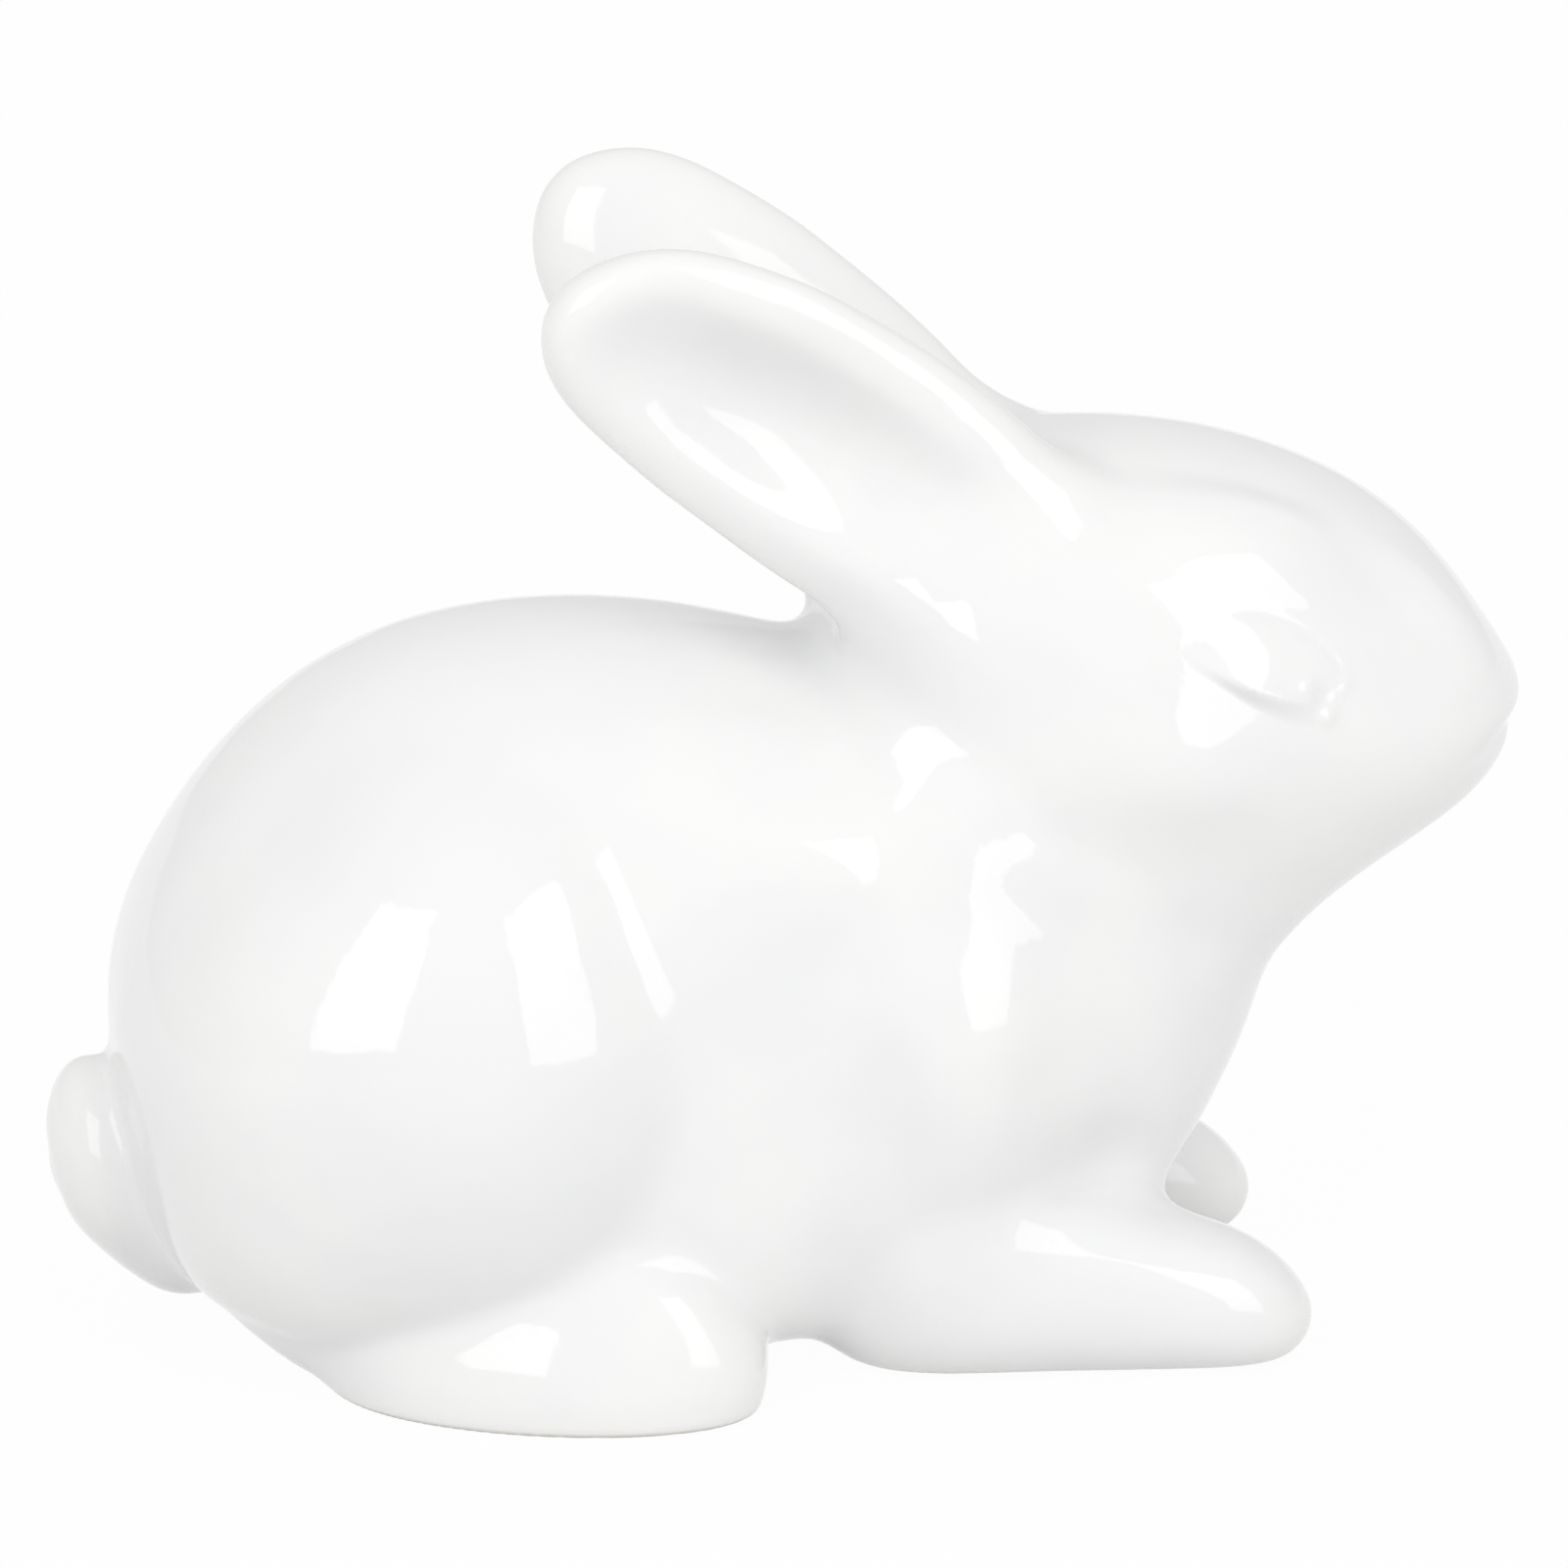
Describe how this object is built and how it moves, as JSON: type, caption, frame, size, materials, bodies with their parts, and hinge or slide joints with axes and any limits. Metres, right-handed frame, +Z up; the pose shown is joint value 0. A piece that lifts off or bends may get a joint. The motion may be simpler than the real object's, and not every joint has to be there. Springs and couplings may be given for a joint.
{
  "type": "ceramic rabbit figurine",
  "caption": "Crouching rabbit with ears laid back and closed eyes, a hollow white-glazed ceramic ornament that stands on its flat-ground feet.",
  "frame": {"origin": "centre of the bounding box on the surface that the feet stand on", "axes": "+X from tail to nose, +Y towards the rabbit's left side, +Z up from the soles"},
  "size_m": [0.1202, 0.063, 0.0944],
  "materials": {
    "body_glaze": "glossy clear glaze over white earthenware",
    "head_glaze": "glossy clear glaze over white earthenware",
    "ear_glaze": "glossy clear glaze over white earthenware",
    "limb_glaze": "glossy clear glaze over white earthenware, soles wiped bare"
  },
  "bodies": {
    "root": {"body_shell": "body_glaze", "head_shell": "head_glaze", "right_ear": "ear_glaze", "left_ear": "ear_glaze", "tail": "body_glaze", "right_hind_foot": "limb_glaze", "left_hind_foot": "limb_glaze", "right_foreleg": "limb_glaze", "left_foreleg": "limb_glaze"}
  },
  "joints": []
}
